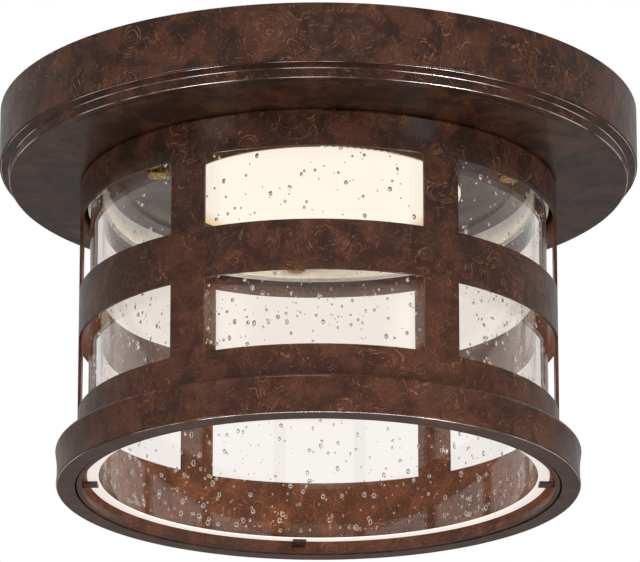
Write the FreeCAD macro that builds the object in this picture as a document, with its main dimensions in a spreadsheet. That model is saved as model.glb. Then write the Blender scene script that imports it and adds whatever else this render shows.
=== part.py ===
"""Porch ceiling lantern: a round ceiling pan, a windowed metal cage round a seeded glass
cylinder that is open below, and a light module with its driver in the pan.

Millimetres. The origin is the centre of the ceiling plane, +Z points up into the ceiling,
and the lantern hangs below it, so every height on it is negative. The front is towards -Y.
"""
import FreeCAD
import Part
import math
import os
import re

import Sketcher

Vector = FreeCAD.Vector

SIZES = (
    ("canopy_radius", 130.2, "outside of the ceiling pan's upright band"),
    ("canopy_wall", 1.1, "sheet of the ceiling pan"),
    ("floor_rise", 2.0, "rise of the floor from the cage to the bead"),
    ("canopy_corner", 0.8, "rounding at the foot of the band"),
    ("ledge_width", 4.3, "step in from the band to the bead"),
    ("ledge_drop", 1.5, "fall across that step"),
    ("ledge_hollow", 8.0, "radius of the hollow in the step"),
    ("bead_width", 2.0, "width of the rounded bead"),
    ("bead_drop", 3.4, "fall across the bead"),
    ("bead_round", 2.6, "radius of the bead"),
    ("canopy_depth", 31.1, "ceiling to the underside of the pan's floor"),
    ("flat_margin", 1.0, "flat floor that shows outside the cage"),
    ("seal_width", 3.0, "foam seal inside the pan's rim"),
    ("seal_height", 4.0, "height of that foam seal"),
    ("fit_clearance", 0.05, "gap of a close fit"),
    ("hole_clearance", 0.15, "gap round a screw in its hole"),
    ("cage_radius", 97.0, "outside of the cage"),
    ("cage_wall", 1.2, "sheet of the cage"),
    ("cage_height", 127.2, "top to bottom edge of the cage"),
    ("cage_bend", 1.6, "outside bend under the pan"),
    ("flange_margin", 3.1, "edge of the cage's top flange inside the screws' centres"),
    ("hem_wall", 0.8, "extra thickness of the hemmed bottom edge"),
    ("hem_height", 2.4, "height of that hem"),
    ("top_band", 15.65, "cage above the upper windows"),
    ("window_height", 30.6, "height of each window"),
    ("middle_band", 20.45, "cage between the two rows"),
    ("upright_angle", 9.2, "degrees round the cage that an upright takes"),
    ("front_upright_left", 32.05, "degrees from the front to its left upright"),
    ("front_upright_right", 29.97, "degrees from the front to its right upright"),
    ("rear_upright_left", 32.6, "degrees from the rear to its left upright"),
    ("rear_upright_right", 30.9, "degrees from the rear to its right upright"),
    ("ring_width", 8.7, "trim ring at its shoulder, outside the cage"),
    ("ring_taper", 0.4, "foot of the trim ring inside its shoulder"),
    ("ring_wall", 1.2, "sheet of the trim ring"),
    ("ring_height", 15.75, "shoulder to foot of the trim ring"),
    ("ring_reach", 0.45, "how far the ring stands below the cage"),
    ("ring_rise", 0.6, "how much the shoulder rises to the cage"),
    ("ring_corner", 1.6, "rounding of the shoulder"),
    ("ring_foot_corner", 0.8, "rounding of the foot"),
    ("ring_cove", 44.0, "radius of the hollow in the ring's face"),
    ("ring_skirt", 8.0, "upright skirt welded to the cage"),
    ("ring_lip_gap", 0.7, "groove between the ring's lip and the cage"),
    ("glass_gap", 2.95, "glass to the inside of the cage"),
    ("glass_wall", 4.65, "thickness of the glass"),
    ("glass_bevel", 0.4, "ground edge of the glass"),
    ("hem_gap", 0.4, "foot of a glass clip above the hem"),
    ("gasket_wall", 0.9, "leg of the glass gasket"),
    ("gasket_web", 1.7, "top of the glass gasket"),
    ("gasket_height", 8.5, "height of the glass gasket"),
    ("clip_width", 5.5, "width of a glass clip"),
    ("clip_wall", 1.2, "sheet of a glass clip"),
    ("clip_leg", 12.0, "leg of a clip up the cage"),
    ("clip_foot", 6.8, "foot of a clip under the glass"),
    ("clip_gap", 0.1, "play between a clip's foot and the glass"),
    ("clip_right_angle", 4.0, "degrees of the right clip from +X"),
    ("clip_rear_angle", 95.0, "degrees of the rear clip"),
    ("clip_left_angle", 176.0, "degrees of the left clip"),
    ("clip_front_angle", 270.0, "degrees of the front clip"),
    ("diffuser_drop", 3.5, "how far the diffuser shows below the floor"),
    ("diffuser_wall", 2.0, "thickness of the diffuser"),
    ("diffuser_round", 1.0, "rounding of the diffuser's edge"),
    ("diffuser_lip", 2.2, "lip of the diffuser on the floor"),
    ("diffuser_lip_height", 1.0, "thickness of that lip"),
    ("sink_gap", 2.92, "flange of the heat sink to a canopy screw"),
    ("sink_margin", 3.5, "edge of that flange outside the studs' centres"),
    ("sink_base", 3.0, "base plate of the heat sink"),
    ("sink_flange", 2.0, "thickness of its flange"),
    ("fin_margin", 4.0, "fins inside the edge of the thick part"),
    ("fin_height", 8.0, "height of the fins"),
    ("fin_gap", 6.4, "space between two fins"),
    ("fin_gaps", 13, "number of spaces"),
    ("fin_well_radius", 11.0, "clear well in the middle of the fins"),
    ("lead_hole_radius", 5.0, "hole for the leads in the base"),
    ("module_stud_radius", 1.5, "studs welded on the pan for the heat sink"),
    ("module_stud_height", 5.0, "height of those studs above the floor"),
    ("module_stud_gap", 3.0, "centres of those studs to the diffuser's lip"),
    ("module_stud_angle", 90.0, "degrees of the first of them"),
    ("module_nut_radius", 3.1, "corner radius of their nuts"),
    ("module_nut_height", 2.4, "height of their nuts"),
    ("module_nut_gap", 0.4, "those nuts to the thick part of the heat sink"),
    ("module_studs", 3, "number of those studs"),
    ("board_gap", 6.3, "light board to the inside of the diffuser"),
    ("board_height", 1.6, "thickness of the light board"),
    ("board_screw_margin", 10.0, "board's screws inside the outer ring of chips"),
    ("board_screw_angle", 30.0, "degrees of the first of them"),
    ("board_screw_count", 3, "number of those screws"),
    ("board_screw_radius", 1.25, "shank of a board screw"),
    ("board_screw_grip", 2.4, "thread of a board screw in the heat sink"),
    ("board_screw_head", 2.5, "head radius of a board screw"),
    ("board_screw_head_height", 1.5, "head height of a board screw"),
    ("chip_length", 3.5, "light chip along its ring"),
    ("chip_width", 2.8, "light chip across its ring"),
    ("chip_height", 0.7, "thickness of a light chip"),
    ("chip_margin", 10.0, "outer ring of chips inside the board's edge"),
    ("chip_inner_margin", 11.0, "inner ring of chips inside the board's screws"),
    ("chip_inner_count", 8, "chips in the inner ring"),
    ("chip_outer_count", 16, "chips in the outer ring"),
    ("nut_gap", 0.45, "washer under a thumb nut to the glass gasket"),
    ("nut_angle", -23.3, "degrees of the first cage screw from +X"),
    ("thread_radius", 2.08, "cage and canopy screws"),
    ("cage_screw_tip", 5.7, "cage screw below the flange"),
    ("cage_screw_head", 3.6, "head radius of a cage screw"),
    ("cage_screw_head_height", 2.0, "head height of a cage screw"),
    ("washer_margin", 0.1, "washer wider than the thumb nut"),
    ("washer_height", 0.8, "thickness of a washer"),
    ("thumb_nut_radius", 4.3, "knurled nuts of the cage and the pan"),
    ("thumb_nut_height", 6.0, "height of a knurled nut"),
    ("thumb_nut_bore", 5.2, "depth of its threaded bore"),
    ("thumb_nut_edge", 0.5, "chamfer of its ends"),
    ("knurl_depth", 0.35, "depth of the knurling"),
    ("knurl_count", 20, "grooves in the knurling"),
    ("plate_margin", 8.0, "edge of the mounting plate outside its screws"),
    ("plate_wall", 1.6, "sheet of the mounting plate"),
    ("plate_step", 4.4, "step down to its rim"),
    ("plate_rim", 17.0, "width of that rim"),
    ("plate_step_width", 3.0, "width of the step"),
    ("wire_hole_radius", 19.0, "hole for the house wires"),
    ("box_screw_spacing", 88.9, "junction box screws, centre to centre"),
    ("box_slot_radius", 2.4, "half the width of their slots"),
    ("box_slot_length", 12.0, "slot for a box screw, end to end"),
    ("canopy_screw_gap", 2.9, "washer of a canopy screw to the cage's flange"),
    ("canopy_screw_left_angle", 207.5, "degrees of the left canopy screw from +X"),
    ("canopy_screw_right_angle", 44.0, "degrees of the right canopy screw from +X"),
    ("canopy_screw_tip", 4.6, "canopy screw below the floor"),
    ("canopy_screw_head", 3.8, "head radius of a canopy screw"),
    ("canopy_screw_head_height", 2.5, "head height of a canopy screw"),
    ("lock_nut_radius", 4.0, "corner radius of a hexagon nut"),
    ("lock_nut_height", 3.2, "height of a lock nut"),
    ("canopy_washer_radius", 4.4, "washer under a canopy nut"),
    ("ground_screw_reach", 40.0, "ground screw in front of the centre"),
    ("ground_screw_radius", 2.4, "shank of the ground screw"),
    ("ground_screw_head", 4.2, "corner radius of its hexagon head"),
    ("ground_screw_head_height", 2.6, "height of that head"),
    ("driver_angle", 36.7, "degrees of the driver from +X"),
    ("case_gap", 6.4, "corner of the driver case to the inside of the bead"),
    ("case_width", 34.0, "driver case, along the radius"),
    ("case_length", 76.0, "driver case, across the radius"),
    ("lid_gap", 2.4, "lid of the driver case to the mounting plate"),
    ("case_wall", 1.6, "wall of the driver case"),
    ("case_lift", 2.0, "feet under the driver case"),
    ("ear_shift", 10.0, "fixing ears, from the middle towards the axis"),
    ("ear_length", 10.0, "fixing ears beyond the case"),
    ("ear_width", 10.0, "width of a fixing ear"),
    ("case_foot_radius", 4.0, "foot under a fixing ear"),
    ("case_screw_radius", 1.6, "case screw"),
    ("case_screw_head", 2.8, "head radius of a case screw"),
    ("case_screw_head_height", 1.8, "head height of a case screw"),
    ("lid_wall", 1.6, "lid of the driver case"),
    ("lid_rim", 1.2, "thickness of the rim inside the lid"),
    ("lid_rim_height", 2.0, "height of that rim"),
    ("post_radius", 2.0, "posts that carry the driver's board"),
    ("post_height", 3.0, "height of those posts"),
    ("post_inset", 3.5, "posts from the inside of the case"),
    ("driver_board_gap", 0.6, "play round the driver's board"),
    ("driver_board_height", 1.6, "thickness of the driver's board"),
    ("coil_width", 16.0, "transformer along the radius"),
    ("coil_length", 18.0, "transformer across the radius"),
    ("coil_gap", 3.8, "transformer core to the top of the case"),
    ("coil_window", 4.0, "winding beyond the core at each end"),
    ("coil_drop", 1.0, "winding lower than the core"),
    ("coil_shift", 12.0, "transformer from the middle of the board"),
    ("capacitor_radius", 4.0, "driver capacitor"),
    ("capacitor_gap", 2.8, "driver capacitor to the top of the case"),
    ("capacitor_round", 0.6, "crimped edge of its can"),
    ("capacitor_shift", 10.0, "first capacitor from the middle of the board"),
    ("capacitor_pitch", 11.0, "first capacitor to the second"),
    ("terminal_width", 4.3, "one terminal along the radius"),
    ("terminal_length", 10.0, "terminal across the radius"),
    ("terminal_height", 11.0, "height of a terminal"),
    ("terminal_shift", 7.0, "middle terminal from the middle, away from the axis"),
    ("terminal_pitch", 4.4, "terminal to terminal"),
    ("terminal_bore", 1.5, "radius of a wire entry"),
    ("terminal_depth", 7.0, "depth of a wire entry"),
    ("terminal_entry_shift", 1.0, "wire entries from the middle, towards the case"),
    ("terminal_screw_radius", 1.5, "clamp screw of a terminal"),
    ("terminal_screw_height", 3.0, "length of a clamp screw"),
    ("terminal_screw_rise", 6.5, "clamp screws above the shelf"),
    ("gland_radius", 4.2, "collar of the lead gland"),
    ("gland_collar", 1.6, "thickness of that collar"),
    ("gland_neck", 3.0, "radius of the gland in the wall"),
    ("lead_radius", 0.9, "light lead"),
    ("lead_spread", 1.5, "each lead from the middle of the gland"),
    ("lead_bend", 6.0, "bend of a lead into the heat sink"),
    ("slot_width", 0.9, "driver slot in a screw head"),
    ("slot_depth", 0.7, "depth of that slot"),
)
ALIASES = {alias for alias, value, note in SIZES}

# Heights, radii and distances that follow from the sizes.
PLACES = {
    "floor_under": "-canopy_depth",
    "floor_top": "floor_under + canopy_wall",
    "bead_low": "floor_under + floor_rise",
    "ledge_low": "bead_low + bead_drop",
    "band_low": "ledge_low + ledge_drop",
    "ledge_radius": "canopy_radius - ledge_width",
    "bead_radius": "ledge_radius - bead_width",
    "flat_radius": "cage_radius + flat_margin",
    "flange_under": "floor_under - cage_wall",
    "cage_inner": "cage_radius - cage_wall",
    "cage_low": "floor_under - cage_height",
    "upper_window_top": "floor_under - top_band",
    "lower_window_top": "upper_window_top - window_height - middle_band",
    "ring_low": "cage_low - ring_reach",
    "ring_top": "ring_low + ring_height",
    "shoulder_top": "ring_top + ring_rise",
    "ring_radius": "cage_radius + ring_width",
    "ring_foot_radius": "ring_radius - ring_taper",
    "skirt_inner": "cage_radius + fit_clearance",
    "ring_inner": "ring_foot_radius - ring_wall",
    "glass_radius": "cage_inner - glass_gap",
    "glass_inner": "glass_radius - glass_wall",
    "glass_top": "flange_under - gasket_web",
    "clip_low": "cage_low + hem_height + hem_gap",
    "clip_top_of_foot": "clip_low + clip_wall",
    "glass_low": "clip_top_of_foot + clip_gap",
    "gasket_low": "flange_under - gasket_height",
    "gasket_inner": "glass_inner - fit_clearance - gasket_wall",
    "washer_radius": "thumb_nut_radius + washer_margin",
    "nut_circle": "gasket_inner - nut_gap - washer_radius",
    "flange_radius": "nut_circle - flange_margin",
    "canopy_screw_circle": "flange_radius - canopy_screw_gap - canopy_washer_radius",
    "plate_radius": "canopy_screw_circle + plate_margin",
    "plate_rim_inner": "plate_radius - plate_rim",
    "plate_step_radius": "plate_rim_inner - plate_step_width",
    "sink_radius": "canopy_screw_circle - thread_radius - sink_gap",
    "module_stud_circle": "sink_radius - sink_margin",
    "sink_body_radius": "module_stud_circle - module_nut_radius - module_nut_gap",
    "fin_radius": "sink_body_radius - fin_margin",
    "fin_pitch": "2 * fin_radius / fin_gaps",
    "lip_radius": "module_stud_circle - module_stud_gap",
    "diffuser_radius": "lip_radius - diffuser_lip",
    "diffuser_hole": "diffuser_radius + hole_clearance",
    "skirt_of_diffuser": "diffuser_radius - diffuser_wall",
    "board_radius": "skirt_of_diffuser - board_gap",
    "chip_outer_circle": "board_radius - chip_margin",
    "board_screw_circle": "chip_outer_circle - board_screw_margin",
    "chip_inner_circle": "board_screw_circle - chip_inner_margin",
    "lip_top": "floor_top + diffuser_lip_height",
    "diffuser_face": "floor_under - diffuser_drop",
    "sink_base_top": "lip_top + sink_base",
    "sink_flange_top": "floor_top + sink_flange",
    "fin_top": "sink_base_top + fin_height",
    "board_under": "lip_top - board_height",
    "thread_hole": "thread_radius + hole_clearance",
    "thumb_bore_radius": "thread_radius + fit_clearance",
    "thumb_nut_top": "flange_under - washer_height",
    "plate_rim_top": "-plate_step",
    "plate_rim_under": "-(plate_step + plate_wall)",
    "plate_step_shift": "plate_wall / 2",
    "canopy_nut_top": "floor_under - washer_height",
    "case_low": "floor_top + case_lift",
    "case_top": "plate_rim_under - lid_gap - lid_wall",
    "case_height": "case_top - case_low",
    "case_floor": "case_low + case_wall",
    "case_half_width": "case_width / 2",
    "case_half_length": "case_length / 2",
    "case_corner": "bead_radius - canopy_wall - case_gap",
    "case_far_side": "sqrt(case_corner * case_corner - case_half_length * case_half_length)",
    "driver_reach": "case_far_side - case_half_width",
    "ear_hole": "case_half_length + ear_length / 2",
    "driver_board_low": "case_floor + post_height",
    "driver_board_top": "driver_board_low + driver_board_height",
    "coil_height": "case_top - driver_board_top - coil_gap",
    "capacitor_height": "case_top - driver_board_top - capacitor_gap",
    "terminal_row_half": "terminal_pitch + terminal_width / 2",
    "terminal_top": "case_floor + terminal_height",
    "terminal_end": "case_half_length + fit_clearance + terminal_length",
    "terminal_middle": "case_half_length + fit_clearance + terminal_length / 2",
    "clamp_face": "terminal_end - slot_depth",
    "clamp_level": "case_floor + terminal_screw_rise",
    "lead_height": "fin_top + lead_radius + fit_clearance",
    "case_near_side": "driver_reach - case_half_width",
}

WORD = re.compile(r"[a-z_]+")
NUT_SIDES = ("right", "rear", "left")
CLIP_SIDES = ("right", "rear", "left", "front")
RIGHT, REAR, LEFT, FRONT, FULL_TURN = 0, 90, 180, 270, 360
UPRIGHTS = (
    f"{RIGHT}", f"{REAR} - rear_upright_right", f"{REAR} + rear_upright_left",
    f"{LEFT}", f"{FRONT} - front_upright_left", f"{FRONT} + front_upright_right",
)
SAME_VOLUME = 1e-6
LEAD_VOLUME_ERROR = 0.01


def formula(text):
    """Spell a formula out in cells of the sheet."""
    def spell(match):
        word = match.group()
        if word in PLACES:
            return f"({formula(PLACES[word])})"
        if word in ALIASES:
            return f"sizes.{word}"
        return word
    return WORD.sub(spell, text)


doc = FreeCAD.newDocument("porch_lantern")
sheet = doc.addObject("Spreadsheet::Sheet", "sizes")
for row, (alias, value, note) in enumerate(SIZES, 1):
    sheet.set(f"A{row}", note)
    sheet.set(f"B{row}", str(value))
    sheet.setAlias(f"B{row}", alias)
doc.recompute()

pieces = []


def number(text):
    """The value of a formula now."""
    return float(sheet.evalExpression(formula(text)))


def bind(item, **formulas):
    """Tie properties of an object to the sheet."""
    for name, text in formulas.items():
        item.setExpression(name, formula(text))


def place(item, across="0", forward="0", up="0", turn="0", axis=("0", "0", "1")):
    """Tie an object's placement to the sheet: a place, and a turn in degrees about an axis."""
    point = "; ".join(formula(text) for text in (across, forward, up))
    about = "; ".join(formula(text) for text in axis)
    rotation = f"rotation(vector({about}); {formula(turn)})"
    item.setExpression("Placement", f"placement(vector({point}); {rotation})")


def keep(item):
    """Count an object as a piece of the lantern."""
    pieces.append(item)
    return item


# Sketches

def sketch_on(body, role, height="0"):
    """An empty sketch on one of the body's own planes, or at a height above it."""
    plane = next(item for item in body.Origin.OriginFeatures if item.Role == role)
    sketch = body.newObject("Sketcher::SketchObject", f"{body.Name}_sketch")
    sketch.AttachmentSupport = [(plane, "")]
    sketch.MapMode = "FlatFace"
    if height != "0":
        sketch.setExpression("AttachmentOffset.Base.z", formula(height))
    return sketch


def fix_point(sketch, edge, vertex, across, up):
    """Tie one vertex to its place from the sketch's origin."""
    for kind, text, axis in (("DistanceX", across, -2), ("DistanceY", up, -1)):
        if text == "0":
            sketch.addConstraint(Sketcher.Constraint("PointOnObject", edge, vertex, axis))
            continue
        index = sketch.addConstraint(Sketcher.Constraint(kind, -1, 1, edge, vertex, number(text)))
        sketch.setExpression(f"Constraints[{index}]", formula(text))


def arc_between(start, end, radius, side):
    """The short arc of a radius that swells to the left or the right of start to end."""
    chord = end - start
    normal = Vector(-chord.y, chord.x, 0).normalize()
    depth = max(radius * radius - chord.Length * chord.Length / 4, 0) ** 0.5
    to_centre = -depth if side == "left" else depth
    centre = (start + end) / 2 + normal * to_centre
    first, last = (end, start) if side == "left" else (start, end)
    angles = [math.atan2(point.y - centre.y, point.x - centre.x) for point in (first, last)]
    return Part.ArcOfCircle(Part.Circle(centre, Vector(0, 0, 1), radius), *angles)


def draw_outline(sketch, corners):
    """Close a chain of edges through corners given as (across, up).

    A corner with (across, up, radius, side) starts an arc to the next one. A half circle
    also gives its centre's place across.
    """
    points = [Vector(number(corner[0]), number(corner[1]), 0) for corner in corners]
    first = sketch.GeometryCount
    ends = []
    for step, corner in enumerate(corners):
        start = points[step]
        end = points[(step + 1) % len(corners)]
        if len(corner) == 2:
            edge = sketch.addGeometry(Part.LineSegment(start, end))
        else:
            edge = sketch.addGeometry(arc_between(start, end, number(corner[2]), corner[3]))
        ends.append((2, 1) if corner[3:4] == ("left",) else (1, 2))
    for step, corner in enumerate(corners):
        edge = first + step
        following = (step + 1) % len(corners)
        sketch.addConstraint(
            Sketcher.Constraint("Coincident", edge, ends[step][1], first + following, ends[following][0]))
        fix_point(sketch, edge, ends[step][0], corner[0], corner[1])
        if len(corner) == 4:
            index = sketch.addConstraint(Sketcher.Constraint("Radius", edge, number(corner[2])))
            sketch.setExpression(f"Constraints[{index}]", formula(corner[2]))
        if len(corner) == 5:
            middle = Sketcher.Constraint("DistanceX", -1, 1, edge, 3, number(corner[4]))
            index = sketch.addConstraint(middle)
            sketch.setExpression(f"Constraints[{index}]", formula(corner[4]))
    return sketch


def draw_box(sketch, left, right, low, high):
    """A rectangle between four formulas."""
    return draw_outline(sketch, [(left, low), (right, low), (right, high), (left, high)])


def draw_circle(sketch, across, up, radius):
    """A circle whose centre and radius follow the sheet."""
    centre = Vector(number(across), number(up), 0)
    edge = sketch.addGeometry(Part.Circle(centre, Vector(0, 0, 1), number(radius)))
    fix_point(sketch, edge, 3, across, up)
    index = sketch.addConstraint(Sketcher.Constraint("Radius", edge, number(radius)))
    sketch.setExpression(f"Constraints[{index}]", formula(radius))
    return sketch


# Features

def body_named(label):
    """An empty body with its own label."""
    body = doc.addObject("PartDesign::Body", label)
    body.Label = label
    return body


def revolve(body, corners):
    """Turn an outline round the body's upright axis. Its left side is the outside."""
    sketch = draw_outline(sketch_on(body, "XZ_Plane"), corners)
    feature = body.newObject("PartDesign::Revolution", f"{body.Name}_turned")
    feature.Profile = sketch
    feature.ReferenceAxis = (sketch, ["V_Axis"])
    feature.Angle = 360
    doc.recompute()
    return feature


def pad(body, sketch, height):
    """Raise a sketch by a height."""
    feature = body.newObject("PartDesign::Pad", f"{body.Name}_pad")
    feature.Profile = sketch
    bind(feature, Length=height)
    doc.recompute()
    return feature


def cut(body, sketch, depth=None, upward=False):
    """Cut a sketch out of the body, to a depth or right through both ways."""
    before = body.Shape.Volume
    feature = body.newObject("PartDesign::Pocket", f"{body.Name}_cut")
    feature.Profile = sketch
    if depth is None:
        feature.Type = "ThroughAll"
        feature.SideType = "Symmetric"
    else:
        feature.Reversed = upward
        bind(feature, Length=depth)
    doc.recompute()
    if body.Shape.Volume >= before:
        raise ValueError(f"a cut in {body.Label} removes nothing")
    return feature


def repeat_round(body, features, count):
    """Repeat features evenly round the body's upright axis."""
    before = body.Shape.Volume
    feature = body.newObject("PartDesign::PolarPattern", f"{body.Name}_pattern")
    feature.Originals = features
    feature.Axis = (next(item for item in body.Origin.OriginFeatures if item.Role == "Z_Axis"), [""])
    feature.Angle = 360
    bind(feature, Occurrences=count)
    body.Tip = feature
    doc.recompute()
    if abs(body.Shape.Volume - before) < SAME_VOLUME:
        raise ValueError(f"a pattern in {body.Label} changes nothing")
    return feature


def turned(label, corners):
    """A body turned from one outline."""
    body = body_named(label)
    revolve(body, corners)
    return body


def ring(label, inner, outer, low, high):
    """A plain ring, or a disc where the inner radius is 0."""
    return turned(label, [(inner, high), (outer, high), (outer, low), (inner, low)])


def cylinder(label, radius, low, height, across="0", forward="0"):
    """An upright cylinder."""
    item = doc.addObject("Part::Cylinder", label)
    bind(item, Radius=radius, Height=height)
    place(item, across, forward, low)
    return item


def block(label, length, width, height, across="0", forward="0", up="0"):
    """A block centred across and forward, standing on its height."""
    item = doc.addObject("Part::Box", label)
    bind(item, Length=length, Width=width, Height=height)
    place(item, f"{across} - ({length}) / 2", f"{forward} - ({width}) / 2", up)
    return item


def hexagon(label, radius, low, height):
    """An upright six-sided prism."""
    item = doc.addObject("Part::Prism", label)
    item.Polygon = 6
    bind(item, Circumradius=radius, Height=height)
    place(item, up=low)
    return item


def joined(label, items):
    """Shapes fused into one."""
    fuse = doc.addObject("Part::MultiFuse", label)
    fuse.Label = label
    fuse.Shapes = items
    doc.recompute()
    return fuse


def without(label, base, tool):
    """One shape less another."""
    result = doc.addObject("Part::Cut", label)
    result.Label = label
    result.Base = base
    result.Tool = tool
    doc.recompute()
    return result


def group(label, master, places):
    """Copies of one piece, as separate solids in one node. A place is (across, forward, turn)."""
    copies = []
    for across, forward, turn in places:
        copy = doc.addObject("App::Link", f"{label}_copy")
        copy.LinkedObject = master
        place(copy, across, forward, turn=turn)
        copies.append(copy)
    compound = doc.addObject("Part::Compound", label)
    compound.Label = label
    compound.Links = copies
    doc.recompute()
    return keep(compound)


def round_places(circle, angle, count):
    """Places spaced evenly round a circle, as formulas. The count is a whole number."""
    places = []
    for step in range(count):
        turn = f"{angle} + {360 * step / count}"
        places.append((f"({circle}) * cos({turn})", f"({circle}) * sin({turn})", turn))
    return places


def slotted_screw(label, radius, head, head_height, seat, tip, head_up=True):
    """A round-headed screw. Its head sits on the seat, and its shank ends at the tip."""
    low, high = (seat, f"{seat} + {head_height}") if head_up else (f"{seat} - {head_height}", seat)
    length = f"({seat}) - ({tip})" if head_up else f"({tip}) - ({seat})"
    start = tip if head_up else seat
    shank = cylinder(f"{label}_shank", radius, start, length)
    top = cylinder(f"{label}_head", head, low, head_height)
    whole = joined(f"{label}_blank", [shank, top])
    slot_low = f"{high} - slot_depth" if head_up else low
    slot = block(f"{label}_slot", f"3 * ({head})", "slot_width", "slot_depth", up=slot_low)
    return without(f"{label}_shape", whole, slot)


CAGE_SCREWS = round_places("nut_circle", "nut_angle", len(NUT_SIDES))
MODULE_STUDS = round_places("module_stud_circle", "module_stud_angle", int(number("module_studs")))
BOARD_SCREWS = round_places("board_screw_circle", "board_screw_angle", int(number("board_screw_count")))
CHIPS = (round_places("chip_inner_circle", "0", int(number("chip_inner_count")))
         + round_places("chip_outer_circle", "0", int(number("chip_outer_count"))))
CANOPY_SCREWS = (round_places("canopy_screw_circle", "canopy_screw_left_angle", 1)
                 + round_places("canopy_screw_circle", "canopy_screw_right_angle", 1))


def driver_point(along, aside):
    """A point of the driver's case in the lantern's frame, as two formulas."""
    reach = f"(driver_reach + {along})"
    return (f"{reach} * cos(driver_angle) - ({aside}) * sin(driver_angle)",
            f"{reach} * sin(driver_angle) + ({aside}) * cos(driver_angle)")


def place_by_driver(item, along="0", aside="0", up="0"):
    """Place an object in the frame of the driver's case."""
    across, forward = driver_point(along, aside)
    place(item, across, forward, up, "driver_angle")
    return item


# The ceiling pan and what fixes it

def build_canopy():
    """The spun ceiling pan with its bead, floor, holes and three welded studs."""
    body = body_named("canopy")
    revolve(body, [
        ("canopy_radius", "0"),
        ("canopy_radius", "band_low + canopy_corner", "canopy_corner", "left"),
        ("canopy_radius - canopy_corner", "band_low", "ledge_hollow", "right"),
        ("ledge_radius", "ledge_low", "bead_round", "left"),
        ("bead_radius", "bead_low"),
        ("flat_radius", "floor_under"),
        ("diffuser_hole", "floor_under"),
        ("diffuser_hole", "floor_top"),
        ("flat_radius", "floor_top"),
        ("bead_radius - canopy_wall", "bead_low + canopy_wall"),
        ("ledge_radius - canopy_wall", "ledge_low + canopy_wall"),
        ("canopy_radius - canopy_wall", "band_low + canopy_wall"),
        ("canopy_radius - canopy_wall", "0"),
    ])
    holes = sketch_on(body, "XY_Plane")
    for across, forward, turn in CAGE_SCREWS + CANOPY_SCREWS:
        draw_circle(holes, across, forward, "thread_hole")
    for side in ("", "-"):
        across, forward = driver_point("-ear_shift", f"{side}(ear_hole)")
        draw_circle(holes, across, forward, "case_screw_radius + hole_clearance")
    cut(body, holes)
    studs = sketch_on(body, "XY_Plane", "floor_under")
    for across, forward, turn in MODULE_STUDS:
        draw_circle(studs, across, forward, "module_stud_radius")
    pad(body, studs, "canopy_wall + module_stud_height")
    keep(body)


def build_ceiling_seal():
    """The foam ring inside the rim that closes the pan against the ceiling."""
    outer = "canopy_radius - canopy_wall - fit_clearance"
    keep(ring("ceiling_seal", f"{outer} - seal_width", outer, "-seal_height", "0"))


def build_mounting_plate():
    """The dished steel plate that screws to the junction box and carries the pan's screws."""
    body = body_named("mounting_plate")
    revolve(body, [
        ("wire_hole_radius", "0"),
        ("plate_step_radius", "0"),
        ("plate_rim_inner", "plate_rim_top"),
        ("plate_radius", "plate_rim_top"),
        ("plate_radius", "plate_rim_under"),
        ("plate_rim_inner - plate_step_shift", "plate_rim_under"),
        ("plate_step_radius - plate_step_shift", "-plate_wall"),
        ("wire_hole_radius", "-plate_wall"),
    ])
    holes = sketch_on(body, "XY_Plane")
    for across, forward, turn in CANOPY_SCREWS:
        draw_circle(holes, across, forward, "thread_hole")
    draw_circle(holes, "0", "-ground_screw_reach", "ground_screw_radius + fit_clearance")
    cut(body, holes)
    for side in (-1, 1):
        cut(body, draw_box_slot(sketch_on(body, "XY_Plane"), side))
    keep(body)


def draw_box_slot(sketch, side):
    """A round-ended slot for a junction box screw."""
    middle = f"{side} * box_screw_spacing / 2"
    near = f"{middle} - (box_slot_length / 2 - box_slot_radius)"
    far = f"{middle} + (box_slot_length / 2 - box_slot_radius)"
    return draw_outline(sketch, [
        (near, "-box_slot_radius"),
        (far, "-box_slot_radius", "box_slot_radius", "right", far),
        (far, "box_slot_radius"),
        (near, "box_slot_radius", "box_slot_radius", "right", near),
    ])


def build_canopy_screws():
    """Two long screws from the mounting plate, each with a lock nut, a washer and a knurled cap nut."""
    tip = "floor_under - canopy_screw_tip"
    screw = slotted_screw("canopy_screw", "thread_radius", "canopy_screw_head",
                          "canopy_screw_head_height", "plate_rim_top", tip)
    group("canopy_screws", screw, CANOPY_SCREWS)
    blank = hexagon("lock_nut_blank", "lock_nut_radius", "plate_rim_under - lock_nut_height",
                    "lock_nut_height")
    bore =cylinder("lock_nut_bore", "thumb_bore_radius", "plate_rim_under - 2 * lock_nut_height",
                    "3 * lock_nut_height")
    group("lock_nuts", without("lock_nut_shape", blank, bore), CANOPY_SCREWS)
    washer = ring("canopy_washer", "thread_hole", "canopy_washer_radius", "canopy_nut_top", "floor_under")
    group("canopy_washers", washer, CANOPY_SCREWS)
    group("canopy_cap_nuts", knurled_nut("canopy_nut", "canopy_nut_top"), CANOPY_SCREWS)


def build_ground_screw():
    """The green bonding screw in the mounting plate."""
    head = hexagon("ground_screw_hexagon", "ground_screw_head", "-plate_wall - ground_screw_head_height",
                   "ground_screw_head_height")
    shank = cylinder("ground_screw_shank", "ground_screw_radius", "-plate_wall", "plate_wall")
    screw = joined("ground_screw", [head, shank])
    place(screw, forward="-ground_screw_reach")
    keep(screw)


# The cage, its trim ring and the glass

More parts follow.
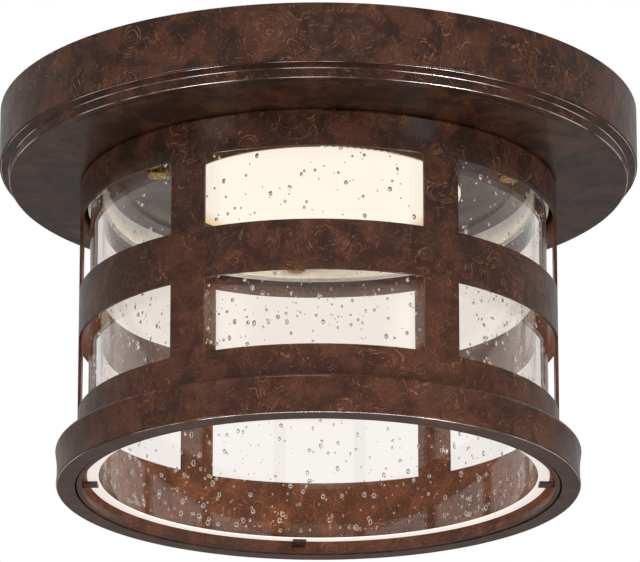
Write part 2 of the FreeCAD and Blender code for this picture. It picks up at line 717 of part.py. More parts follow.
def build_cage():
    """The rolled sheet cage: top flange, hemmed foot and two rows of windows."""
    body = body_named("cage")
    revolve(body, [
        ("flange_radius", "floor_under"),
        ("cage_radius - cage_bend", "floor_under", "cage_bend", "left"),
        ("cage_radius", "floor_under - cage_bend"),
        ("cage_radius", "cage_low"),
        ("cage_inner - hem_wall", "cage_low"),
        ("cage_inner - hem_wall", "cage_low + hem_height"),
        ("cage_inner", "cage_low + hem_height"),
        ("cage_inner", "flange_under"),
        ("flange_radius", "flange_under"),
    ])
    holes = sketch_on(body, "XY_Plane")
    for across, forward, turn in CAGE_SCREWS:
        draw_circle(holes, across, forward, "thread_hole")
    cut(body, holes)
    for top in ("upper_window_top", "lower_window_top"):
        windows = sketch_on(body, "XY_Plane", top)
        for start, end in zip(UPRIGHTS, UPRIGHTS[1:] + (f"{FULL_TURN} + {UPRIGHTS[0]}",)):
            draw_window(windows, f"({start} + upright_angle / 2)", f"({end} - upright_angle / 2)")
        cut(body, windows, "window_height")
    keep(body)


def draw_window(sketch, start, end):
    """A wedge between two angles, from inside the cage to outside it."""
    near = "cage_radius / 2"
    far = "2 * cage_radius"
    corners = ((near, start), (far, start), (far, end), (near, end))
    return draw_outline(sketch, [(f"{reach} * cos{turn}", f"{reach} * sin{turn}") for reach, turn in corners])


def build_trim_ring():
    """The rolled channel ring welded round the foot of the cage."""
    keep(turned("trim_ring", [
        ("skirt_inner", "shoulder_top - ring_skirt"),
        ("skirt_inner", "shoulder_top"),
        ("ring_radius - ring_corner", "ring_top", "ring_corner", "left"),
        ("ring_radius", "ring_top - ring_corner", "ring_cove", "right"),
        ("ring_foot_radius", "ring_low + ring_foot_corner", "ring_foot_corner", "left"),
        ("ring_foot_radius - ring_foot_corner", "ring_low"),
        ("cage_radius + ring_lip_gap", "ring_low"),
        ("cage_radius + ring_lip_gap", "ring_low + ring_wall"),
        ("ring_inner", "ring_low + ring_wall"),
        ("ring_inner", "ring_top - ring_wall"),
        ("skirt_inner + ring_wall", "shoulder_top - ring_wall"),
        ("skirt_inner + ring_wall", "shoulder_top - ring_skirt"),
    ]))


def build_glass():
    """The open glass cylinder with ground edges."""
    keep(turned("glass_cylinder", [
        ("glass_inner + glass_bevel", "glass_top"),
        ("glass_radius - glass_bevel", "glass_top"),
        ("glass_radius", "glass_top - glass_bevel"),
        ("glass_radius", "glass_low + glass_bevel"),
        ("glass_radius - glass_bevel", "glass_low"),
        ("glass_inner + glass_bevel", "glass_low"),
        ("glass_inner", "glass_low + glass_bevel"),
        ("glass_inner", "glass_top - glass_bevel"),
    ]))


def build_gasket():
    """The white channel gasket on the glass's top edge."""
    inner = "gasket_inner + gasket_wall"
    outer = "glass_radius + fit_clearance"
    keep(turned("glass_gasket", [
        ("gasket_inner", "gasket_low"),
        ("gasket_inner", "flange_under"),
        (f"{outer} + gasket_wall", "flange_under"),
        (f"{outer} + gasket_wall", "gasket_low"),
        (outer, "gasket_low"),
        (outer, "glass_top"),
        (inner, "glass_top"),
        (inner, "gasket_low"),
    ]))


def build_clips():
    """Four bent clips inside the cage that carry the glass's bottom edge."""
    back = "cage_inner - fit_clearance"
    for name in CLIP_SIDES:
        body = body_named(f"glass_clip_{name}")
        side = draw_outline(sketch_on(body, "XZ_Plane", "-clip_width / 2"), [
            (f"{back} - clip_foot", "clip_low"),
            (f"{back} - clip_foot", "clip_top_of_foot"),
            (f"{back} - clip_wall", "clip_top_of_foot"),
            (f"{back} - clip_wall", "clip_low + clip_leg"),
            (back, "clip_low + clip_leg"),
            (back, "clip_low"),
        ])
        pad(body, side, "clip_width")
        cut(body, draw_clip_back(sketch_on(body, "XY_Plane")))
        place(body, turn=f"clip_{name}_angle")
        keep(body)


def draw_clip_back(sketch):
    """What a clip's flat back loses to lie in the round cage."""
    radius = "cage_inner - fit_clearance"
    depth = f"sqrt(({radius}) * ({radius}) - clip_width * clip_width)"
    return draw_outline(sketch, [
        (depth, "-clip_width", radius, "right"),
        (depth, "clip_width"),
        (f"{radius} + clip_wall", "clip_width"),
        (f"{radius} + clip_wall", "-clip_width"),
    ])


def build_cage_screws():
    """Three screws through the pan's floor, each with a washer and a knurled thumb nut."""
    tip = "flange_under - cage_screw_tip"
    screw = slotted_screw("cage_screw", "thread_radius", "cage_screw_head", "cage_screw_head_height",
                          "floor_top", tip)
    group("cage_screws", screw, CAGE_SCREWS)
    for name, (across, forward, turn) in zip(NUT_SIDES, CAGE_SCREWS):
        washer = ring(f"washer_{name}", "thread_hole", "washer_radius", "thumb_nut_top", "flange_under")
        place(washer, across, forward)
        keep(washer)
        nut = knurled_nut(f"thumb_nut_{name}", "thumb_nut_top")
        place(nut, across, forward, turn=turn)
        keep(nut)


def knurled_nut(label, top):
    """A knurled nut with a blind threaded bore from above."""
    body = body_named(label)
    low = f"{top} - thumb_nut_height"
    revolve(body, [
        ("thumb_bore_radius", top),
        ("thumb_nut_radius - thumb_nut_edge", top),
        ("thumb_nut_radius", f"{top} - thumb_nut_edge"),
        ("thumb_nut_radius", f"{low} + thumb_nut_edge"),
        ("thumb_nut_radius - thumb_nut_edge", low),
        ("0", low),
        ("0", f"{top} - thumb_nut_bore"),
        ("thumb_bore_radius", f"{top} - thumb_nut_bore"),
    ])
    groove = draw_outline(sketch_on(body, "XY_Plane"), [
        ("thumb_nut_radius - knurl_depth", "0"),
        ("thumb_nut_radius + knurl_depth", "2 * knurl_depth"),
        ("thumb_nut_radius + knurl_depth", "-2 * knurl_depth"),
    ])
    repeat_round(body, [cut(body, groove)], "knurl_count")
    return body


# The light module

def build_diffuser():
    """The opal cup that shows below the floor, held by its lip."""
    keep(turned("diffuser", [
        ("skirt_of_diffuser", "lip_top"),
        ("lip_radius", "lip_top"),
        ("lip_radius", "floor_top"),
        ("diffuser_radius", "floor_top"),
        ("diffuser_radius", "diffuser_face + diffuser_round", "diffuser_round", "left"),
        ("diffuser_radius - diffuser_round", "diffuser_face"),
        ("0", "diffuser_face"),
        ("0", "diffuser_face + diffuser_wall"),
        ("skirt_of_diffuser", "diffuser_face + diffuser_wall"),
    ]))


def build_heat_sink():
    """The finned plate that presses the diffuser's lip down and carries the light board."""
    body = body_named("heat_sink")
    lip_clear = "lip_radius + hole_clearance"
    revolve(body, [
        ("lead_hole_radius", "sink_base_top"),
        ("sink_body_radius", "sink_base_top"),
        ("sink_body_radius", "sink_flange_top"),
        ("sink_radius", "sink_flange_top"),
        ("sink_radius", "floor_top"),
        (lip_clear, "floor_top"),
        (lip_clear, "lip_top"),
        ("lead_hole_radius", "lip_top"),
    ])
    fins = draw_circle(sketch_on(body, "XY_Plane", "sink_base_top"), "0", "0", "fin_radius")
    pad(body, draw_circle(fins, "0", "0", "fin_well_radius"), "fin_height")
    leftmost = "-(fin_gaps - 1) / 2 * fin_pitch"
    gap = sketch_on(body, "XY_Plane", "fin_top")
    draw_box(gap, f"{leftmost} - fin_gap / 2", f"{leftmost} + fin_gap / 2", "-sink_radius", "sink_radius")
    repeat_across(body, [cut(body, gap, "fin_height")], "(fin_gaps - 1) * fin_pitch", "fin_gaps", gap)
    holes = sketch_on(body, "XY_Plane")
    for across, forward, turn in MODULE_STUDS:
        draw_circle(holes, across, forward, "module_stud_radius + hole_clearance")
    cut(body, holes)
    taps = sketch_on(body, "XY_Plane", "lip_top")
    for across, forward, turn in BOARD_SCREWS:
        draw_circle(taps, across, forward, "board_screw_radius + fit_clearance")
    cut(body, taps, "board_screw_grip + fit_clearance", upward=True)
    keep(body)


def repeat_across(body, features, length, count, sketch):
    """Repeat features evenly along a sketch's first axis."""
    feature = body.newObject("PartDesign::LinearPattern", f"{body.Name}_row")
    feature.Originals = features
    feature.Direction = (sketch, ["H_Axis"])
    bind(feature, Length=length, Occurrences=count)
    body.Tip = feature
    doc.recompute()


def build_module_nuts():
    """The nuts on the pan's welded studs."""
    blank = hexagon("module_nut_blank", "module_nut_radius", "sink_flange_top", "module_nut_height")
    bore = cylinder("module_nut_bore", "module_stud_radius + fit_clearance",
                    "sink_flange_top - module_nut_height", "3 * module_nut_height")
    nut = without("module_nut_shape", blank, bore)
    group("module_nuts", nut, MODULE_STUDS)


def build_light_board():
    """The round board under the heat sink, its screws and its two rings of light chips."""
    body = ring("light_board", "0", "board_radius", "board_under", "lip_top")
    holes = sketch_on(body, "XY_Plane")
    for across, forward, turn in BOARD_SCREWS:
        draw_circle(holes, across, forward, "board_screw_radius + hole_clearance")
    cut(body, holes)
    keep(body)
    screw = slotted_screw("board_screw", "board_screw_radius", "board_screw_head",
                          "board_screw_head_height", "board_under", "lip_top + board_screw_grip",
                          head_up=False)
    group("board_screws", screw, BOARD_SCREWS)
    chip = block("light_chip_blank", "chip_width", "chip_length", "chip_height",
                 up="board_under - chip_height")
    holder = doc.addObject("Part::Compound", "light_chip")
    holder.Links = [chip]
    doc.recompute()
    group("light_chips", holder, CHIPS)


# The driver

def build_driver_case():
    """The open box with two fixing ears, a shelf for the terminals and four board posts."""
    body = body_named("driver_case")
    outside = draw_box(sketch_on(body, "XY_Plane", "case_low"), "-case_half_width", "case_half_width",
                       "-case_half_length", "case_half_length")
    pad(body, outside, "case_height")
    for side in ("", "-"):
        near = f"{side}(case_half_length - case_wall)"
        far = f"{side}(case_half_length + ear_length)"
        ear = draw_box(sketch_on(body, "XY_Plane", "case_low"), "-ear_shift - ear_width / 2",
                       "-ear_shift + ear_width / 2", near, far)
        pad(body, ear, "case_wall")
        foot = draw_circle(sketch_on(body, "XY_Plane", "floor_top"), "-ear_shift", f"{side}(ear_hole)",
                           "case_foot_radius")
        pad(body, foot, "case_lift + case_wall")
    shelf = draw_box(sketch_on(body, "XY_Plane", "case_low"), "terminal_shift - terminal_row_half",
                     "terminal_shift + terminal_row_half", "case_half_length - case_wall", "terminal_end")
    pad(body, shelf, "case_wall")
    inside = draw_box(sketch_on(body, "XY_Plane", "case_top"), "case_wall - case_half_width",
                      "case_half_width - case_wall", "case_wall - case_half_length",
                      "case_half_length - case_wall")
    cut(body, inside, "case_height - case_wall")
    for across in ("", "-"):
        for along in ("", "-"):
            post = sketch_on(body, "XY_Plane", "case_low")
            draw_circle(post, f"{across}(case_half_width - case_wall - post_inset)",
                        f"{along}(case_half_length - case_wall - post_inset)", "post_radius")
            pad(body, post, "case_wall + post_height")
    screws = sketch_on(body, "XY_Plane")
    for side in ("", "-"):
        draw_circle(screws, "-ear_shift", f"{side}(ear_hole)", "case_screw_radius + hole_clearance")
    cut(body, screws)
    gland = draw_circle(sketch_on(body, "YZ_Plane"), "0", "lead_height", "gland_neck + fit_clearance")
    cut(body, gland, "case_width")
    keep(place_by_driver(body))


def build_driver_lid():
    """The lid with a rim that fits inside the case."""
    body = body_named("driver_lid")
    top = draw_box(sketch_on(body, "XY_Plane", "case_top"), "-case_half_width", "case_half_width",
                   "-case_half_length", "case_half_length")
    pad(body, top, "lid_wall")
    rim = sketch_on(body, "XY_Plane", "case_top - lid_rim_height")
    for inset in ("(case_wall + hole_clearance)", "(case_wall + hole_clearance + lid_rim)"):
        draw_box(rim, f"{inset} - case_half_width", f"case_half_width - {inset}",
                 f"{inset} - case_half_length", f"case_half_length - {inset}")
    pad(body, rim, "lid_rim_height")
    keep(place_by_driver(body))


def build_driver_parts():
    """The driver's board, transformer and capacitors."""
    board = block("driver_board_blank", "case_width - 2 * (case_wall + driver_board_gap)",
                  "case_length - 2 * (case_wall + driver_board_gap)", "driver_board_height")
    keep(in_driver("driver_board", [board], up="driver_board_low"))
    core = block("transformer_core", "coil_width", "coil_length", "coil_height")
    winding = block("transformer_winding", "coil_width - 2 * coil_drop", "coil_length + 2 * coil_window",
                    "coil_height - coil_drop")
    whole = joined("transformer_blank", [core, winding])
    keep(in_driver("transformer", [whole], aside="-coil_shift", up="driver_board_top"))
    cans = []
    for step in ("0", "1"):
        can = turned(f"capacitor_{step}", [
            ("0", "capacitor_height"),
            ("capacitor_radius - capacitor_round", "capacitor_height", "capacitor_round", "left"),
            ("capacitor_radius", "capacitor_height - capacitor_round"),
            ("capacitor_radius", "0"),
            ("0", "0"),
        ])
        place(can, forward=f"capacitor_shift + {step} * capacitor_pitch")
        cans.append(can)
    keep(in_driver("capacitors", cans, up="driver_board_top"))


def in_driver(label, items, along="0", aside="0", up="0"):
    """Objects in the driver's frame, gathered in one node."""
    compound = doc.addObject("Part::Compound", label)
    compound.Label = label
    compound.Links = items
    place_by_driver(compound, along, aside, up)
    doc.recompute()
    return compound


def build_terminal_block():
    """Three supply terminals at the end of the driver, each with a wire entry and a clamp screw."""
    body = body_named("terminal")
    outside = draw_box(sketch_on(body, "XY_Plane", "case_floor"), "-terminal_width / 2",
                       "terminal_width / 2", "case_half_length + fit_clearance", "terminal_end")
    pad(body, outside, "terminal_height")
    entry = draw_circle(sketch_on(body, "XY_Plane", "terminal_top"), "0",
                        "terminal_middle - terminal_entry_shift", "terminal_bore")
    cut(body, entry, "terminal_depth")
    hole = draw_circle(sketch_on(body, "XZ_Plane", "-(terminal_end)"), "0", "clamp_level",
                       "terminal_screw_radius + fit_clearance")
    cut(body, hole, "terminal_screw_height + slot_depth", upward=True)
    spots = [f"terminal_shift + {step} * terminal_pitch" for step in (-1, 0, 1)]
    group("terminal_block", body, [driver_point(spot, "0") + ("driver_angle",) for spot in spots])
    clamps = []
    for step, spot in enumerate(spots):
        blank = cylinder(f"clamp_{step}_blank", "terminal_screw_radius", "clamp_level",
                         "terminal_screw_height")
        place(blank, spot, "clamp_face - terminal_screw_height", "clamp_level", "-90", ("1", "0", "0"))
        slot = block(f"clamp_{step}_slot", "3 * terminal_screw_radius", "slot_depth", "slot_width", spot,
                     "clamp_face - slot_depth / 2", "clamp_level - slot_width / 2")
        clamps.append(without(f"clamp_{step}", blank, slot))
    keep(in_driver("terminal_screws", clamps))


def build_case_screws():
    """Two screws that hold the driver's ears to the pan."""
    screw = slotted_screw("case_screw", "case_screw_radius", "case_screw_head", "case_screw_head_height",
                          "case_floor", "floor_under")
    places = [driver_point("-ear_shift", f"{side}(ear_hole)") + ("driver_angle",) for side in ("", "-")]
    group("case_screws", screw, places)


def build_leads():
    """The gland in the case's wall and the two leads from it to the light board."""
    collar = cylinder("gland_collar", "gland_radius", "case_half_width + hole_clearance", "gland_collar")
    neck = cylinder("gland_neck", "gland_neck", "case_half_width - case_wall", "case_wall + gland_collar")
    gland = joined("lead_gland", [collar, neck])
    across, forward = driver_point("0", "0")
    place(gland, across, forward, "lead_height", "-90", ("-sin(driver_angle)", "cos(driver_angle)", "0"))
    keep(gland)
    for name, side in (("red", 1), ("black", -1)):
        lead = doc.addObject("Part::Feature", f"light_lead_{name}")
        lead.Shape = lead_shape(side * number("lead_spread"))
        place(lead, turn="driver_angle")
        keep(lead)


def lead_shape(aside):
    """A lead that runs in over the fins and bends down onto the board through the heat sink."""
    start = Vector(number("case_near_side - hole_clearance - gland_collar"), aside, number("lead_height"))
    bend = number("lead_bend")
    corner = Vector(0, aside, start.z)
    before = corner + Vector(bend, 0, 0)
    after = corner - Vector(0, 0, bend)
    centre = Vector(before.x, aside, after.z)
    middle = centre + Vector(-1, 0, 1).normalize() * bend
    end = Vector(0, aside, number("lip_top"))
    path = Part.Wire([Part.LineSegment(start, before).toShape(), Part.Arc(before, middle, after).toShape(),
                      Part.LineSegment(after, end).toShape()])
    radius = number("lead_radius")
    section = Part.Wire(Part.Circle(start, Vector(-1, 0, 0), radius).toShape())
    tube = path.makePipeShell([section], True, False)
    expected = path.Length * math.pi * radius * radius
    if abs(tube.Volume / expected - 1) > LEAD_VOLUME_ERROR:
        raise ValueError("a lead does not have the volume of its length")
    return tube


BUILDERS = (
    build_canopy, build_ceiling_seal, build_mounting_plate, build_canopy_screws, build_ground_screw,
    build_cage, build_trim_ring, build_glass, build_gasket, build_clips, build_cage_screws,
    build_diffuser, build_heat_sink, build_module_nuts, build_light_board,
    build_driver_case, build_driver_lid, build_driver_parts, build_terminal_block, build_case_screws,
    build_leads,
)


def check_and_write():
    """Stop on any failed object or shape, then write one file for each piece."""
    doc.recompute()
    failed = [item.Label for item in doc.Objects if {"Invalid", "Error"} & set(item.State)]
    if failed:
        raise ValueError(f"failed objects: {failed}")
    bad = [item.Label for item in pieces if item.Shape.isNull() or not item.Shape.isValid()]
    if bad:
        raise ValueError(f"bad shapes: {bad}")
    os.makedirs("parts", exist_ok=True)
    for item in pieces:
        item.Shape.exportStep(f"parts/{item.Label}.step")
    print(f"{len(pieces)} pieces, {sum(len(item.Shape.Solids) for item in pieces)} solids")


for build in BUILDERS:
    build()
check_and_write()
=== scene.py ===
import math
import random

import bmesh
import bpy
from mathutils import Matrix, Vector, noise


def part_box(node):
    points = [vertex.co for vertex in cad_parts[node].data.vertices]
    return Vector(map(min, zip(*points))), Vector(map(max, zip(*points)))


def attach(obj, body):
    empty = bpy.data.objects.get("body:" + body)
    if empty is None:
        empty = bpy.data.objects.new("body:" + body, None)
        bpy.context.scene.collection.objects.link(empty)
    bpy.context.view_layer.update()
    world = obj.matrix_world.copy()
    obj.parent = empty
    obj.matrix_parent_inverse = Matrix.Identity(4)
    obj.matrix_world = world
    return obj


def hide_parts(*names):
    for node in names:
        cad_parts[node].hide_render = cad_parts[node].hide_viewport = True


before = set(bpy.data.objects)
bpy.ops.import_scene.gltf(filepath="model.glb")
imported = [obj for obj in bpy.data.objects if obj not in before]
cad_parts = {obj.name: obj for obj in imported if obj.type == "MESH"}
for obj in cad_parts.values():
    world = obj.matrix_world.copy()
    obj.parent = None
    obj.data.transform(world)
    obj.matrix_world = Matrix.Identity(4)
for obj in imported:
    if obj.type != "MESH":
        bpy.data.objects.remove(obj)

bl_info = {
    "name": "Porch ceiling lantern",
    "version": (1, 0, 0),
    "blender": (4, 5, 0),
    "location": "View3D > Sidebar > Lantern",
    "description": "Dresses the frame of a porch ceiling lantern and sets its studio",
    "category": "Object",
}

# Body and groups of nodes
ROOT = "root"
NUT_SIDES = ("right", "rear", "left")
CLIP_SIDES = ("right", "rear", "left", "front")

MM = 0.001
SMOOTH_ANGLE = math.radians(30.0)
BLACK = (0.0, 0.0, 0.0, 1.0)
WHITE = (1.0, 1.0, 1.0, 1.0)
GLASS_IOR = 1.47

# The part of a noise's range that most of its values lie in
MOST = (0.3, 0.7)

# Brush strokes: the finer layer's size against the first's, how far the layers lie apart, how
# far a swirl pulls its strokes in sizes of itself, and how far strokes differ from swirl to
# swirl and wander along their arcs, in strokes
FINER_SWIRL = 0.62
LAYER_SHIFT = (0.31, 0.17, 0.0)
SWIRL_PULL = 0.9
SWIRL_PHASE = 60.0
STROKE_WANDER = 2.2

# Plain finishes: two tones and the size of their clouds in metres, and where it isn't the usual
# one, the range of roughness, the relief's depth in metres and the share of metal
PLAIN_FINISHES = {
    "white_silicone": dict(dark=(0.83, 0.83, 0.81), light=(0.90, 0.90, 0.88), size=0.004,
                           rough=(0.45, 0.6), depth=0.00002),
    "cast_aluminium": dict(dark=(0.50, 0.51, 0.52), light=(0.68, 0.69, 0.70), size=0.004,
                           depth=0.00004, metal=1.0),
    "white_mask": dict(dark=(0.86, 0.87, 0.86), light=(0.93, 0.93, 0.92), size=0.003),
    "phosphor": dict(dark=(0.85, 0.66, 0.18), light=(0.97, 0.82, 0.34), size=0.0012,
                     rough=(0.2, 0.35)),
    "polished_brass": dict(dark=(0.64, 0.50, 0.28), light=(0.86, 0.72, 0.44), size=0.0025,
                           rough=(0.16, 0.3), metal=1.0),
    "zinc_plate": dict(dark=(0.52, 0.54, 0.56), light=(0.72, 0.73, 0.74), size=0.003,
                       rough=(0.25, 0.42), metal=1.0),
    "green_passivate": dict(dark=(0.03, 0.30, 0.12), light=(0.08, 0.46, 0.20), size=0.002,
                            rough=(0.25, 0.4), metal=0.6),
    "galvanised_plate": dict(dark=(0.50, 0.52, 0.53), light=(0.70, 0.71, 0.71), size=0.009,
                             rough=(0.3, 0.5), depth=0.00002, metal=1.0),
    "foam": dict(dark=(0.07, 0.07, 0.07), light=(0.16, 0.16, 0.16), size=0.0012,
                 rough=(0.8, 0.95), depth=0.0003),
    "moulded_case": dict(dark=(0.76, 0.76, 0.74), light=(0.84, 0.84, 0.82), size=0.004,
                         rough=(0.4, 0.55), depth=0.00005),
    "green_mask": dict(dark=(0.03, 0.22, 0.10), light=(0.06, 0.34, 0.16), size=0.003),
    "coil_tape": dict(dark=(0.68, 0.54, 0.10), light=(0.84, 0.70, 0.22), size=0.002),
    "can_sleeve": dict(dark=(0.05, 0.06, 0.12), light=(0.10, 0.12, 0.20), size=0.002),
    "terminal_grey": dict(dark=(0.62, 0.63, 0.64), light=(0.72, 0.73, 0.74), size=0.002),
    "black_rubber": dict(dark=(0.03, 0.03, 0.03), light=(0.08, 0.08, 0.08), size=0.002,
                         rough=(0.5, 0.7)),
    "red_sleeve": dict(dark=(0.50, 0.03, 0.02), light=(0.70, 0.07, 0.05), size=0.003),
    "black_sleeve": dict(dark=(0.02, 0.02, 0.02), light=(0.07, 0.07, 0.08), size=0.003),
}


# Sizes and colours that a user would change

class LanternSizes(bpy.types.PropertyGroup):
    """Sizes of what is added to the frame."""

    seed_count: bpy.props.IntProperty(
        name="Seeds", description="Bubbles in the glass", default=2100, min=0)
    seed_smallest: bpy.props.FloatProperty(
        name="Smallest seed", description="Radius of the smallest bubble", default=0.00030,
        subtype="DISTANCE", unit="LENGTH")
    seed_largest: bpy.props.FloatProperty(
        name="Largest seed", description="Radius of the largest bubble", default=0.00092,
        subtype="DISTANCE", unit="LENGTH")
    glass_wave: bpy.props.FloatProperty(
        name="Glass wave", description="How far the glass's faces wander", default=0.00006,
        subtype="DISTANCE", unit="LENGTH")
    glass_edge: bpy.props.FloatProperty(
        name="Ground edge", description="Thickness of the ground foot of the glass",
        default=0.0004, subtype="DISTANCE", unit="LENGTH")
    swirl: bpy.props.FloatProperty(
        name="Swirl", description="Size of a swirl in the brushed finish", default=0.017,
        subtype="DISTANCE", unit="LENGTH")
    stroke: bpy.props.FloatProperty(
        name="Stroke", description="Width of a brush stroke", default=0.00062,
        subtype="DISTANCE", unit="LENGTH")


class LanternColours(bpy.types.PropertyGroup):
    """Colours of the finishes, as they look on screen."""

    bronze_dark: bpy.props.FloatVectorProperty(
        name="Bronze, dark", description="Ground of the brushed finish", subtype="COLOR_GAMMA",
        default=(0.175, 0.108, 0.082), min=0, max=1)
    bronze_light: bpy.props.FloatVectorProperty(
        name="Bronze, light", description="Cloudy patches of the brushed finish",
        subtype="COLOR_GAMMA", default=(0.295, 0.175, 0.122), min=0, max=1)
    bronze_stroke: bpy.props.FloatVectorProperty(
        name="Bronze, strokes", description="Hair strokes of the brushed finish",
        subtype="COLOR_GAMMA", default=(0.580, 0.370, 0.250), min=0, max=1)
    # Painted highlight: near-white colour of the thin rings on rounded edges, for the lamps'
    # gleam
    bronze_painted_highlight: bpy.props.FloatVectorProperty(
        name="Bronze, rubbed", description="Edges that are rubbed bright",
        subtype="COLOR_GAMMA", default=(0.980, 0.890, 0.865), min=0, max=1)
    # Painted light: glow of the glass's ground foot, for the module's light through the wall
    glass_foot_painted_glow: bpy.props.FloatVectorProperty(
        name="Glass foot", description="The glass's ground edge, lit through the wall",
        subtype="COLOR_GAMMA", default=(0.910, 0.865, 0.825), min=0, max=1)
    diffuser_glow: bpy.props.FloatVectorProperty(
        name="Diffuser", description="The lit diffuser", subtype="COLOR_GAMMA",
        default=(0.968, 0.950, 0.902), min=0, max=1)
    diffuser_rim: bpy.props.FloatVectorProperty(
        name="Diffuser's rim", description="The diffuser near its edge", subtype="COLOR_GAMMA",
        default=(0.900, 0.760, 0.560), min=0, max=1)


def linear(colour):
    """A screen colour as scene-linear red, green, blue and alpha."""
    parts = [c / 12.92 if c <= 0.04045 else ((c + 0.055) / 1.055) ** 2.4 for c in colour]
    return (*parts, 1.0)


# Node trees

class Nodes:
    """A node tree under construction: short calls that add its nodes."""

    def __init__(self, owner, place):
        owner.use_nodes = True
        self.tree = owner.node_tree
        self.tree.nodes.clear()
        self.here = self.add("TexCoord").outputs[place]

    def add(self, kind, inputs=(), **settings):
        """Add a node. Inputs are (socket, number, colour or output)."""
        node = self.tree.nodes.new(f"ShaderNode{kind}")
        for name, value in settings.items():
            setattr(node, name, value)
        for socket, value in inputs:
            if isinstance(value, bpy.types.NodeSocket):
                self.tree.links.new(value, node.inputs[socket])
            else:
                node.inputs[socket].default_value = value
        return node

    def calculate(self, operation, first, *others):
        """One value after the other, taken together by an operation."""
        for other in others:
            node = self.add("Math", [(0, first), (1, other)], operation=operation)
            first = node.outputs[0]
        return first

    def remap(self, value, given, wanted=(0.0, 1.0)):
        """A value moved smoothly from the range that it has to the one that is wanted."""
        return self.add("MapRange", [
            (0, value), (1, given[0]), (2, given[1]), (3, wanted[0]), (4, wanted[1])],
            interpolation_type="SMOOTHSTEP").outputs[0]

    def split(self, vector):
        """The three parts of a vector."""
        return self.add("SeparateXYZ", [(0, vector)]).outputs


class Finish(Nodes):
    """A material under construction."""

    def __init__(self, name):
        self.material = bpy.data.materials.new(name)
        super().__init__(self.material, "Object")

    def noise(self, size, detail=2.0, roughness=0.5, distortion=0.0, where=None, output="Fac"):
        """Noise whose features are of a size in metres, from 0 to 1."""
        return self.add("TexNoise", [
            ("Vector", where or self.here), ("Scale", 1.0 / size), ("Detail", detail),
            ("Roughness", roughness), ("Distortion", distortion)]).outputs[output]

    def mix(self, share, first, second, blend="MIX"):
        """Two colours mixed."""
        return self.add("Mix", [(0, share), (6, first), (7, second)], data_type="RGBA",
                        blend_type=blend, clamp_factor=False).outputs[2]

    def shade(self, colour, tone):
        """A colour made darker or lighter by a tone."""
        grey = self.add("CombineColor", [(0, tone), (1, tone), (2, tone)]).outputs[0]
        return self.mix(1.0, colour, grey, "MULTIPLY")

    def facing_up(self):
        """How far the surface looks up: 1 looks up, -1 looks down."""
        return self.split(self.add("NewGeometry").outputs["Normal"])[2]

    def bump(self, height, depth):
        """A bump of a depth in metres."""
        inputs = [("Height", height), ("Distance", depth), ("Strength", 1.0)]
        return self.add("Bump", inputs).outputs["Normal"]

    def close(self, **inputs):
        """Close the tree with a surface shader and return the material."""
        named = [(name.replace("_", " "), value) for name, value in inputs.items()]
        surface = self.add("BsdfPrincipled", named)
        self.add("OutputMaterial", [("Surface", surface.outputs[0])])
        return self.material


def brushed_bronze(colours, sizes):
    """Dark bronze paint with hair strokes brushed round in swirls."""
    finish = Finish("brushed_bronze")
    clouds = finish.noise(0.012, detail=4.0, roughness=0.62, distortion=0.6)
    clouds = finish.remap(clouds, given=(0.38, 0.66))
    # Painted light: the clouds are lighter towards the lantern's foot, where more light falls
    painted_low_light = finish.remap(finish.split(finish.here)[2], given=(-0.125, -0.050),
                         wanted=(0.40, 0.0))
    clouds = finish.calculate("ADD", clouds, painted_low_light)
    ground = finish.mix(clouds, linear(colours.bronze_dark), linear(colours.bronze_light))

    layers = [brush_strokes(finish, size, sizes.stroke, step)
              for step, size in enumerate((sizes.swirl, sizes.swirl * FINER_SWIRL))]
    strokes = finish.calculate("MAXIMUM", *layers)
    # Painted shade: faces that look down carry fewer light strokes and are darker
    side = finish.remap(finish.facing_up(), given=(-0.92, -0.60), wanted=(0.25, 1.0))
    warmth = finish.noise(0.021, detail=3.0, roughness=0.6, distortion=0.5)
    warmth = finish.remap(warmth, given=(0.36, 0.60), wanted=(0.25, 0.80))
    share = finish.calculate("MULTIPLY", strokes, side, warmth)
    colour = finish.mix(share, ground, linear(colours.bronze_stroke))
    grain = finish.remap(finish.noise(0.0007, roughness=0.6), given=MOST, wanted=(0.78, 1.16))

    peel = finish.noise(0.0016, detail=3.0)
    relief = finish.calculate("ADD", finish.calculate("MULTIPLY", strokes, 0.6), peel)
    rough = finish.noise(0.006, detail=3.0, roughness=0.6)
    lacquer = finish.noise(0.007, detail=1.0, roughness=0.4)
    return finish.close(
        Base_Color=finish.shade(colour, grain),
        Roughness=finish.remap(rough, given=MOST, wanted=(0.28, 0.42)),
        Specular_IOR_Level=0.14, Normal=finish.bump(relief, depth=0.00003),
        Coat_Weight=0.35, Coat_Roughness=0.14, Coat_IOR=1.40,
        Coat_Normal=finish.bump(lacquer, depth=0.00002))


